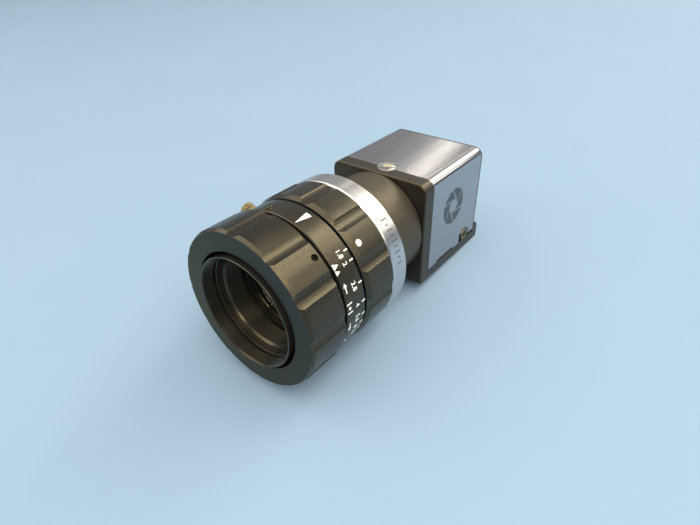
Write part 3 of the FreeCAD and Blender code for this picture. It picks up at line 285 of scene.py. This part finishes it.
def brushed_cover(name):
    """Bent and brushed plated sheet: long fine streaks front to back, faint handling marks, a few pits."""
    finish = Finish(name, Metallic=1.0, Anisotropic=0.35)
    finish.brush_round_axis()
    streaks = finish.noise(finish.stretched((0.09, 9.0, 0.09)), 3.0, 0.6)
    bands = finish.noise(finish.stretched((1.3, 45.0, 1.3)), 2.0)
    smears = finish.noise(finish.stretched((7.0, 10.0, 7.0)), 4.0, 0.6)
    worn, soft = finish.edges(0.14, 5.0)
    streak = finish.spread(streaks, 0.3, 0.7, 0.0, 1.0)
    # the plating's own grey, with a slight blue in it that is a painted reflection of the bluish surround
    colour = finish.blend(streak, (0.35, 0.35, 0.365), (0.44, 0.433, 0.447))
    colour = finish.blend(finish.spread(bands, 0.35, 0.65, 0.0, 0.35), colour, (0.48, 0.47, 0.485))
    colour = finish.blend(finish.maths("MULTIPLY", worn, 0.6), colour, (0.85, 0.83, 0.79))
    pits = finish.cells(finish.stretched((3.4, 3.4, 3.4)))
    colour = finish.blend(finish.spread(pits, 0.035, 0.055, 0.8, 0.0), colour, (0.10, 0.09, 0.085))
    finish.set("Base Color", colour)
    roughness = finish.maths(
        "ADD",
        finish.spread(streaks, 0.3, 0.7, 0.09, 0.14),
        finish.spread(smears, 0.35, 0.7, 0.0, 0.01),
    )
    finish.set("Roughness", roughness)
    finish.set("Normal", finish.relief(streaks, 0.004, 0.35, soft))
    return finish.material


def turned_silver(name):
    """Clear-anodised aluminium ring with fine lathe marks."""
    finish = Finish(name, Metallic=1.0, Anisotropic=0.6, Anisotropic_Rotation=0.25)
    finish.brush_round_axis()
    marks = finish.noise(finish.turned(0.10, 0.6), 3.0, 0.65)
    smears = finish.noise(finish.stretched((4.0,) * 3), 3.0)
    colour = finish.blend(finish.spread(marks, 0.3, 0.7, 0.0, 1.0), (0.50, 0.49, 0.48), (0.68, 0.67, 0.65))
    colour = finish.blend(finish.spread(smears, 0.5, 0.75, 0.0, 0.35), colour, (0.52, 0.50, 0.47))
    finish.set("Base Color", colour)
    finish.set("Roughness", finish.spread(marks, 0.3, 0.7, 0.27, 0.33))
    finish.set("Normal", finish.relief(marks, 0.001, 0.3))
    return finish.material


def small_metal(name, dull, bright, rough, stain=(0.1, 0.08, 0.05)):
    """Bare or plated small parts: fine tool marks, duller where stained, brighter on the edges."""
    finish = Finish(name, Metallic=1.0)
    marks = finish.noise(finish.stretched((0.12,) * 3), 3.0, 0.6)
    patches = finish.noise(finish.stretched((1.1,) * 3), 3.0)
    worn, soft = finish.edges(0.08, 0.5)
    colour = finish.blend(finish.spread(patches, 0.35, 0.65, 0.0, 1.0), dull, bright)
    colour = finish.blend(finish.spread(marks, 0.55, 0.8, 0.0, 0.4), colour, stain)
    shine = [min(1.0, 1.25 * part) for part in bright]
    colour = finish.blend(finish.maths("MULTIPLY", worn, 0.5), colour, shine)
    finish.set("Base Color", colour)
    finish.set("Roughness", finish.spread(patches, 0.3, 0.7, rough + 0.10, rough - 0.05))
    finish.set("Normal", finish.relief(marks, 0.006, 0.5, soft))
    return finish.material


def coated_glass(name, tint, film, index=1.62):
    """Polished optical glass with a thin coating, and a little dust."""
    finish = Finish(name, IOR=index, Transmission_Weight=1.0, Thin_Film_Thickness=film, Thin_Film_IOR=1.38)
    dust = finish.cells(finish.stretched((0.9,) * 3))
    haze = finish.noise(finish.stretched((4.0,) * 3), 3.0)
    darker = [0.9 * part for part in tint]
    finish.set("Base Color", finish.blend(finish.spread(haze, 0.3, 0.7, 0.0, 0.5), tint, darker))
    specks = finish.spread(dust, 0.03, 0.05, 0.35, 0.0)
    finish.set("Roughness", finish.maths("ADD", finish.spread(haze, 0.4, 0.8, 0.0, 0.03), specks))
    return finish.material


def moulded(name, dark, light, rough, grain=0.25, depth=0.008):
    """Moulded plastic or rubber with a fine even texture."""
    finish = Finish(name, IOR=1.5)
    fine = finish.noise(finish.stretched((grain,) * 3), 3.0, 0.6)
    patches = finish.noise(finish.stretched((2.5,) * 3), 2.0)
    worn, soft = finish.edges(0.10, 0.7)
    colour = finish.blend(patches, dark, light)
    rubbed = [min(1.0, 2.2 * part + 0.02) for part in light]
    colour = finish.blend(finish.maths("MULTIPLY", worn, 0.35), colour, rubbed)
    finish.set("Base Color", colour)
    finish.set("Roughness", finish.spread(fine, 0.3, 0.7, rough - 0.06, rough + 0.08))
    finish.set("Normal", finish.relief(fine, depth, 0.5, soft))
    return finish.material


def circuit_board(name):
    """Green solder mask over copper tracks, with tinned pads."""
    finish = Finish(name, IOR=1.5, Coat_Weight=0.4, Coat_Roughness=0.15)
    tracks = finish.cells(finish.stretched((1.6,) * 3), distance="CHEBYCHEV")
    weave = finish.noise(finish.stretched((0.4,) * 3), 2.0)
    pads = finish.cells(finish.stretched((2.3,) * 3), distance="MANHATTAN")
    track = finish.spread(tracks, 0.30, 0.34, 0.0, 1.0)
    colour = finish.blend(track, (0.016, 0.13, 0.055), (0.03, 0.22, 0.09))
    colour = finish.blend(finish.spread(weave, 0.4, 0.7, 0.0, 0.3), colour, (0.012, 0.09, 0.04))
    pad = finish.spread(pads, 0.10, 0.12, 1.0, 0.0)
    colour = finish.blend(pad, colour, (0.72, 0.66, 0.48))
    finish.set("Base Color", colour)
    finish.set("Metallic", pad)
    finish.set("Roughness", finish.spread(weave, 0.3, 0.7, 0.25, 0.40))
    finish.set("Normal", finish.relief(tracks, 0.02, 0.4))
    return finish.material


def silicon(name):
    """Sensor face: fine pixel rows under a violet sheen."""
    finish = Finish(name, Metallic=0.6, Coat_Weight=1.0, Coat_Roughness=0.05)
    rows = finish.node("ShaderNodeTexWave", wave_type="BANDS", bands_direction="Z")
    finish.feed(rows.inputs["Vector"], finish.stretched((0.1,) * 3))
    rows.inputs["Scale"].default_value = 1.0
    patches = finish.noise(finish.stretched((3.0,) * 3), 2.0)
    colour = finish.blend(patches, (0.10, 0.08, 0.16), (0.16, 0.15, 0.24))
    colour = finish.blend(finish.maths("MULTIPLY", rows.outputs["Fac"], 0.4), colour, (0.05, 0.07, 0.12))
    finish.set("Base Color", colour)
    finish.set("Roughness", finish.spread(patches, 0.3, 0.7, 0.14, 0.24))
    finish.set("Normal", finish.relief(rows.outputs["Fac"], 0.004, 0.4))
    return finish.material


def paint(name, thick, thin, rough=0.55):
    """Screen-printed or filled paint, a little uneven and thin at its edges."""
    finish = Finish(name, IOR=1.5)
    fine = finish.noise(finish.stretched((0.12,) * 3), 3.0, 0.6)
    patches = finish.noise(finish.stretched((0.7,) * 3), 3.0)
    finish.set("Base Color", finish.blend(finish.spread(patches, 0.35, 0.75, 0.0, 1.0), thick, thin))
    finish.set("Roughness", finish.spread(fine, 0.3, 0.7, rough - 0.08, rough + 0.08))
    finish.set("Normal", finish.relief(fine, 0.006, 0.5))
    return finish.material


def dress_nodes():
    """Gives every CAD node its material, by its material slot or by its own name."""
    # the black rings' forward faces carry the painted dark blue reflection
    black = anodised("black_anodised", painted_front_reflection=True)
    neck = anodised("satin_black", grain=0.18, rough=0.44, lathe=0.5, wear=0.7, depth=0.006, bare=0.018)
    housing = anodised("housing_black", rough=0.36, wear=1.3)
    inside = anodised("inside_black", grain=0.12, rough=0.22, lathe=0.4, wear=0.3, depth=0.006)
    by_slot = {
        "black_anodised": black,
        "cover_sheet": brushed_cover("brushed_cover"),
        "bright_ring": turned_silver("turned_silver"),
        "brass": small_metal("brass", (0.11, 0.088, 0.042), (0.27, 0.215, 0.115), 0.26),
        "nickel": small_metal("nickel", (0.74, 0.71, 0.60), (0.92, 0.89, 0.78), 0.16, (0.42, 0.37, 0.22)),
        "steel": small_metal("steel", (0.42, 0.42, 0.43), (0.58, 0.58, 0.58), 0.30, (0.2, 0.19, 0.18)),
        "blackened_steel": small_metal("blackened_steel", (0.03, 0.03, 0.032), (0.055, 0.053, 0.05), 0.36),
        "lens_glass": coated_glass("lens_glass", (0.90, 0.93, 0.90), 110.0),
        "filter_glass": coated_glass("filter_glass", (0.62, 0.86, 0.88), 520.0, 1.52),
        "circuit_board": circuit_board("circuit_board"),
        "chip": moulded("chip_resin", (0.018, 0.018, 0.019), (0.03, 0.03, 0.031), 0.5, 0.12),
        "ceramic": moulded("ceramic", (0.20, 0.13, 0.10), (0.28, 0.18, 0.14), 0.45, 0.15),
        "silicon": silicon("silicon"),
        "black_plastic": moulded("black_plastic", (0.016, 0.016, 0.017), (0.026, 0.026, 0.026), 0.45),
        "clear_plastic": coated_glass("clear_plastic", (0.80, 0.88, 0.80), 0.0, 1.49),
        "seal_rubber": moulded("seal_rubber", (0.014, 0.014, 0.014), (0.026, 0.025, 0.024), 0.7, 0.3, 0.02),
    }
    by_name = {
        "lens_body": neck,
        "chassis": housing,
        "rear_plate": housing,
        "front_barrel": inside,
        "front_retainer": inside,
        "rear_cell": inside,
        "baffle_tube": inside,
    }
    for name, node in nodes.items():
        slot = node.data.materials[0].name.split(".")[0]
        node.data.materials[0] = by_name.get(name) or by_slot[slot]


def link(name, mesh, material, body):
    """A new piece that rides on a body."""
    piece = bpy.data.objects.new(name, mesh)
    bpy.context.scene.collection.objects.link(piece)
    mesh.materials.clear()
    mesh.materials.append(material)
    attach(piece, body)
    return piece


def plate(form, outline):
    """Adds a flat plate with a convex outline of (u, v) points in mm, from the sunk to the proud side."""
    bottom = [form.verts.new((u, v, -PAINT_SUNK)) for u, v in outline]
    top = [form.verts.new((u, v, PAINT_PROUD)) for u, v in outline]
    form.faces.new(top)
    form.faces.new(list(reversed(bottom)))
    for k in range(len(outline)):
        n = (k + 1) % len(outline)
        form.faces.new((bottom[k], bottom[n], top[n], top[k]))


def cut_for_bending(form):
    """Cuts the form across u so that it bends smoothly."""
    places = [vertex.co.x for vertex in form.verts]
    count = int((max(places) - min(places)) / BEND_STEP)
    for k in range(1, count + 1):
        geometry = form.verts[:] + form.edges[:] + form.faces[:]
        middle = (min(places) + k * BEND_STEP, 0, 0)
        bmesh.ops.bisect_plane(form, geom=geometry, plane_co=middle, plane_no=(1, 0, 0), dist=1e-6)


def wrapped(name, form, ring, angle, station, body, material, slot):
    """Bends a flat form round a ring: u runs clockwise from angle, v towards the rear from station."""
    cut_for_bending(form)
    radius = radius_of(ring) / MM
    for vertex in form.verts:
        u, v, height = vertex.co
        turn = math.radians(angle) - u / radius
        reach = (radius + height) * MM
        vertex.co = (AXIS_X + reach * math.cos(turn), (station + v) * MM, AXIS_Z + reach * math.sin(turn))
    mesh = bpy.data.meshes.new(name)
    bmesh.ops.recalc_face_normals(form, faces=form.faces[:])
    form.to_mesh(mesh)
    form.free()
    return link(name, mesh, material, body)


def letters(text, height, weight):
    """A flat form of a word in the program's own plain face, centred; height is that of a capital in mm."""
    curve = bpy.data.curves.new("word", "FONT")
    curve.body = text
    curve.align_x = "CENTER"
    curve.size = 1.0
    curve.offset = weight
    curve.resolution_u = 4
    curve.extrude = (PAINT_PROUD + PAINT_SUNK) / 2
    word = bpy.data.objects.new("word", curve)
    bpy.context.scene.collection.objects.link(word)
    bpy.context.view_layer.update()
    mesh = bpy.data.meshes.new_from_object(word.evaluated_get(bpy.context.evaluated_depsgraph_get()))
    form = bmesh.new()
    form.from_mesh(mesh)
    bpy.data.objects.remove(word)
    bpy.data.curves.remove(curve)
    bpy.data.meshes.remove(mesh)
    bmesh.ops.remove_doubles(form, verts=form.verts[:], dist=1e-5)
    scale = height / CAPITAL_HEIGHT
    for vertex in form.verts:
        vertex.co.x *= scale
        vertex.co.y = (vertex.co.y - CAPITAL_HEIGHT / 2) * scale
        vertex.co.z += (PAINT_PROUD - PAINT_SUNK) / 2
    return form


def circle(radius):
    turns = [2 * math.pi * k / CIRCLE_POINTS for k in range(CIRCLE_POINTS)]
    return [(radius * math.cos(turn), radius * math.sin(turn)) for turn in turns]


def rectangle(width, low, high):
    return [(-width / 2, low), (width / 2, low), (width / 2, high), (-width / 2, high)]


def far_symbol():
    """Two mountain peaks."""
    form = bmesh.new()
    for middle, half, tip in PEAKS:
        plate(form, [(middle - half, -SYMBOL_HALF), (middle + half, -SYMBOL_HALF), (middle, tip)])
    return form


def focus_symbol():
    """A dot between two bars."""
    form = bmesh.new()
    plate(form, circle(FOCUS_DOT))
    for place in (-BAR_PLACE, BAR_PLACE):
        plate(form, [(place + u, v) for u, v in rectangle(BAR_WIDTH, -SYMBOL_HALF, SYMBOL_HALF)])
    return form


def near_symbol():
    """A flower of round petals."""
    form = bmesh.new()
    plate(form, circle(FLOWER_HEART))
    for k in range(PETAL_COUNT):
        turn = 2 * math.pi * k / PETAL_COUNT
        middle = (PETAL_CIRCLE * math.cos(turn), PETAL_CIRCLE * math.sin(turn))
        plate(form, [(middle[0] + u, middle[1] + v) for u, v in circle(PETAL_RADIUS)])
    return form


def pointer(side):
    """A small arrow that points to one side: -1 to the start of the row, 1 to its end."""
    form = bmesh.new()
    plate(form, [(side * POINTER_HEAD, 0), (0, POINTER_HALF), (0, -POINTER_HALF)])
    tail = -side * (POINTER_GAP + POINTER_SHAFT / 2)
    shaft = rectangle(POINTER_SHAFT, -LINE_WIDTH / 2, LINE_WIDTH / 2)
    plate(form, [(tail + u, v) for u, v in shaft])
    return form


def ring_scale():
    """A row of long and short lines."""
    form = bmesh.new()
    for k in range(RING_LINES):
        place = (k - (RING_LINES - 1) / 2) * RING_LINE_STEP
        half = RING_LINE_HEIGHTS[k % 2] / 2
        plate(form, [(place + u, v) for u, v in rectangle(LINE_WIDTH, -half, half)])
    return form


def add_lens_markings(white, dark):
    """The printed marks on the lens: f-numbers, and otherwise only lines and symbols."""

    def on_scale(name, form, angle, station):
        wrapped(name, form, "scale_ring", angle, station, "camera", white, "black_anodised")

    dot = bmesh.new()
    plate(dot, circle(DOT_DIAMETER / 2))
    wrapped("iris_index_dot", dot, "iris_ring", DOT_ANGLE, DOT_STATION, "iris_ring", white, "black_anodised")
    arrow = bmesh.new()
    half = ARROW_WIDTH / 2
    plate(arrow, [(0, ARROW_TIP - ARROW_BASE), (half, 0), (-half, 0)])
    on_scale("aperture_arrow", arrow, ARROW_ANGLE, ARROW_BASE)
    for number, (text, angle) in enumerate(APERTURES, 1):
        tick = bmesh.new()
        plate(tick, rectangle(TICK_WIDTH, -TICK_LENGTH, 0))
        on_scale(f"aperture_tick_{number}", tick, angle, TICK_REAR)
        numeral = letters(text, NUMERAL_HEIGHT, NUMERAL_WEIGHT)
        on_scale(f"aperture_numeral_{number}", numeral, angle, NUMERAL_STATION)
    symbols = (
        ("far_symbol", far_symbol(), FAR_ANGLE),
        ("far_pointer", pointer(-1), POINTER_ANGLES[0]),
        ("focus_symbol", focus_symbol(), FOCUS_ANGLE),
        ("near_pointer", pointer(1), POINTER_ANGLES[1]),
        ("near_symbol", near_symbol(), NEAR_ANGLE),
    )
    for name, form, angle in symbols:
        on_scale(name, form, angle, FOCUS_STATION)
    place = ("name_ring", RING_SCALE_ANGLE, RING_SCALE_STATION)
    wrapped("ring_scale_lines", ring_scale(), *place, "camera", dark, "bright_ring")


def leaf_outline(k):
    """One leaf of the iris mark: bounded by two sides of the opening, carried out to the rim."""

    def corner(n):
        turn = math.radians(360 / LEAF_COUNT * n)
        return Vector((math.cos(turn), math.sin(turn))) * MARK_OPENING

    def rim(n):
        start, along = corner(n + 1), (corner(n + 1) - corner(n)).normalized()
        b = start.dot(along)
        reach = -b + math.sqrt(b * b - start.length_squared + MARK_RADIUS**2)
        return start + along * reach

    first, last = rim(k), rim(k - 1)
    start, end = math.atan2(first.y, first.x), math.atan2(last.y, last.x)
    if end > start:
        end -= 2 * math.pi
    turns = [start + (end - start) * n / LEAF_ARC_STEPS for n in range(LEAF_ARC_STEPS + 1)]
    arc = [Vector((math.cos(turn), math.sin(turn))) * MARK_RADIUS for turn in turns]
    return [corner(k), corner(k + 1)] + arc


def shrunk(outline, gap):
    """The outline with each point moved by gap towards the middle."""
    count = len(outline)
    middle = sum(outline, Vector((0, 0))) / count
    return [point + (middle - point).normalized() * gap for point in outline]


def add_cover_mark(dark):
    """A generic iris mark printed on the cover's side."""
    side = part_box("cover")[1].x
    for k in range(LEAF_COUNT):
        form = bmesh.new()
        plate(form, shrunk(leaf_outline(k), MARK_GAP)[::-1])
        for vertex in form.verts:
            u, v, height = vertex.co
            vertex.co = (side + height * MM, (MARK_CENTRE[0] + u) * MM, (MARK_CENTRE[1] + v) * MM)
        bmesh.ops.recalc_face_normals(form, faces=form.faces[:])
        mesh = bpy.data.meshes.new(f"cover_mark_leaf_{k + 1}")
        form.to_mesh(mesh)
        form.free()
        link(f"cover_mark_leaf_{k + 1}", mesh, dark, "camera")


def add_camera():
    """The camera stands in front, to the right and above, and leans a little."""
    azimuth, elevation, roll = map(math.radians, (CAMERA_AZIMUTH, CAMERA_ELEVATION, CAMERA_ROLL))
    back = Vector((
        math.sin(azimuth) * math.cos(elevation),
        -math.cos(azimuth) * math.cos(elevation),
        math.sin(elevation),
    ))
    right = Vector((math.cos(azimuth), math.sin(azimuth), 0))
    up = back.cross(right)
    leaned_up = up * math.cos(roll) - right * math.sin(roll)
    leaned_right = leaned_up.cross(back)
    data = bpy.data.cameras.new("view")
    data.lens = CAMERA_LENS
    data.sensor_width = SENSOR_WIDTH
    data.clip_start = CLIP_START
    data.clip_end = CLIP_END
    camera = bpy.data.objects.new("view", data)
    bpy.context.scene.collection.objects.link(camera)
    turn = Matrix((leaned_right, leaned_up, back)).transposed().to_4x4()
    camera.matrix_world = Matrix.Translation(Vector(CAMERA_PLACE) * MM) @ turn
    bpy.context.scene.camera = camera


def soft_light(name, place, size, radiance, aim):
    """A rectangular light of even brightness that shines towards aim."""
    data = bpy.data.lights.new(name, "AREA")
    data.shape = "RECTANGLE"
    data.size, data.size_y = size
    data.energy = radiance * math.pi * data.size * data.size_y
    data.color = WARM
    light = bpy.data.objects.new(name, data)
    bpy.context.scene.collection.objects.link(light)
    away = (Vector(place) - Vector(aim)).normalized()
    along = Vector((-math.sin(math.radians(CEILING_SLANT)), math.cos(math.radians(CEILING_SLANT)), 0))
    across = along.cross(away).normalized()
    turn = Matrix((across, away.cross(across), away)).transposed().to_4x4()
    light.matrix_world = Matrix.Translation(place) @ turn


def ceiling_light(name, across, front, rear, width, radiance):
    """One row of the ceiling, nearly parallel to the lens."""
    middle = (front + rear) / 2
    place = (across - middle * math.tan(math.radians(CEILING_SLANT)), middle, CEILING_HEIGHT)
    soft_light(name, place, (width, rear - front), radiance, (0, middle, 0))


def add_table():
    """A pale table that the name ring's rear edge and the rear lip touch."""
    ring_low, ring_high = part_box("name_ring")
    lip_low, lip_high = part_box("chassis")
    front = Vector((0, ring_high.y, ring_low.z))
    rear = Vector((0, lip_high.y, lip_low.z))
    form = bmesh.new()
    bmesh.ops.create_grid(form, x_segments=1, y_segments=1, size=TABLE_HALF)
    mesh = bpy.data.meshes.new("table")
    form.to_mesh(mesh)
    form.free()
    table = bpy.data.objects.new("table", mesh)
    bpy.context.scene.collection.objects.link(table)
    table.location = front - Vector((0, 0, TABLE_GAP))
    table.rotation_euler = (math.atan2(rear.z - front.z, rear.y - front.y), 0, 0)
    finish = Finish("table_top", IOR=1.4)
    fibres = finish.noise(finish.stretched((0.5,) * 3), 3.0)
    broad = finish.noise(finish.stretched((60.0,) * 3), 2.0)
    finish.set("Base Color", finish.blend(broad, (0.165, 0.245, 0.34), (0.18, 0.262, 0.36)))
    finish.set("Roughness", finish.spread(fibres, 0.3, 0.7, 0.75, 0.9))
    finish.set("Normal", finish.relief(fibres, 0.02, 0.3))
    mesh.materials.append(finish.material)


def add_studio():
    """Long lights overhead and an even pale surround."""
    add_table()
    world = bpy.data.worlds.new("studio")
    world.use_nodes = True
    background = world.node_tree.nodes["Background"]
    background.inputs["Color"].default_value = (*SURROUND, 1.0)
    background.inputs["Strength"].default_value = SURROUND_STRENGTH
    bpy.context.scene.world = world
    for number, row in enumerate(CEILING, 1):
        ceiling_light(f"ceiling_light_{number}", *row)
    soft_light("bright_wall", WALL_PLACE, WALL_SIZE, WALL_RADIANCE, (0, 0, 0))


add_camera()
dress_nodes()
WHITE = paint("white_paint", (0.86, 0.85, 0.80), (0.70, 0.69, 0.64))
INK = paint("dark_ink", (0.030, 0.032, 0.036), (0.055, 0.058, 0.062), 0.45)
MARK_INK = paint("mark_ink", (0.028, 0.038, 0.050), (0.042, 0.052, 0.066), 0.42)
add_lens_markings(WHITE, INK)
add_cover_mark(MARK_INK)
add_studio()

bpy.context.scene.view_settings.view_transform = "Standard"
